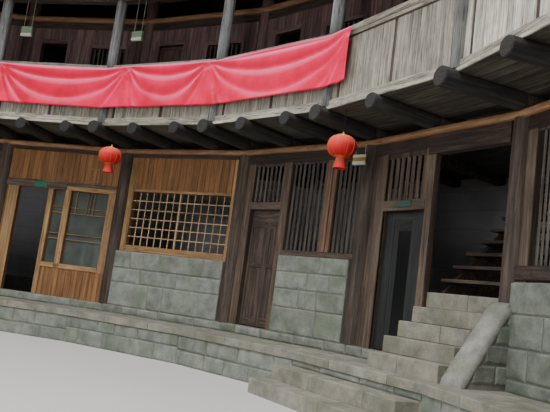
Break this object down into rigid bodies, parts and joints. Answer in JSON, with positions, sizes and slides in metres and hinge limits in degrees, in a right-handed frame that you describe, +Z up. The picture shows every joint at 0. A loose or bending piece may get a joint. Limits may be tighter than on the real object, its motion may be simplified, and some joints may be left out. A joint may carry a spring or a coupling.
{
  "type": "tulou roundhouse",
  "caption": "Round rammed-earth house with a ring of two-storey timber rooms, a gallery, a ring roof and an open courtyard.",
  "frame": {"origin": "centre of the ring at courtyard level", "axes": "+Z up; -Y from the centre to the gate in the earth wall; +Y from the centre to the stair bay"},
  "size_m": [31.2, 31.2, 8.06],
  "materials": {
    "stone": "rough coursed rubble",
    "rammed_earth": "layered rammed earth",
    "new_wood": "oiled golden boards",
    "light_wood": "pale planed laths",
    "old_wood": "smoke-darkened",
    "grey_wood": "weathered grey",
    "roof_tile": "unglazed grey clay",
    "glass": "clear",
    "banner_cloth": "thin polyester, creased",
    "lantern_cloth": "silk over ribs",
    "gold_trim": "satin",
    "sign_plate": "satin"
  },
  "bodies": {
    "root": {"banner": "banner_cloth", "boarding_a": "new_wood", "boarding_b": "new_wood", "boarding_c": "old_wood", "boarding_d": "old_wood", "boarding_e": "old_wood", "courtyard_step_1": "stone", "courtyard_step_2": "stone", "earth_wall_gate_east": "rammed_earth", "earth_wall_gate_west": "rammed_earth", "earth_wall_north_east": "rammed_earth", "earth_wall_north_west": "rammed_earth", "earth_wall_over_gate": "rammed_earth", "gallery_posts_gate_side": "grey_wood", "gallery_posts_north_east": "grey_wood", "gallery_posts_north_west": "grey_wood", "gate_frame": "old_wood", "gate_inner_steps": "stone", "gate_outer_steps": "stone", "glass_a": "glass", "ground_frame_gate_side": "old_wood", "ground_frame_north_east": "old_wood", "ground_frame_north_west": "old_wood", "lantern_left": "lantern_cloth", "lantern_right": "lantern_cloth", "parapet_gate_side": "grey_wood", "parapet_north_east": "grey_wood", "parapet_north_west": "grey_wood", "roof_gate_side": "roof_tile", "roof_north_east": "roof_tile", "roof_north_west": "roof_tile", "stair_pier": "stone", "stone_footing_gate_side": "stone", "stone_footing_north_east": "stone", "stone_footing_north_west": "stone", "stone_sill_gate_east": "stone", "stone_sill_gate_west": "stone", "stone_sill_north_east": "stone", "stone_sill_north_west": "stone", "stone_sill_stair_west": "stone", "stone_stair": "stone", "terrace_gate_side": "stone", "terrace_north_east": "stone", "terrace_north_west": "stone", "timber_stair": "old_wood", "upper_floor_gate_side": "grey_wood", "upper_floor_north_east": "grey_wood", "upper_floor_north_west": "grey_wood", "upper_wall_gate_side": "old_wood", "upper_wall_north_east": "old_wood", "upper_wall_north_west": "old_wood"},
    "door_c": {"door_leaf_c": "old_wood"},
    "door_d": {"door_leaf_d": "old_wood"}
  },
  "joints": [
    {"name": "door_c_hinge", "type": "hinge", "parent": "root", "child": "door_c", "pos_m": [-3.6144, 9.44382, 1.6], "axis": [0, 0, 1], "range_deg": [0, 100]},
    {"name": "door_d_hinge", "type": "hinge", "parent": "root", "child": "door_d", "pos_m": [-0.925, 10.0575, 1.6], "axis": [0, 0, 1], "range_deg": [0, 100]}
  ]
}
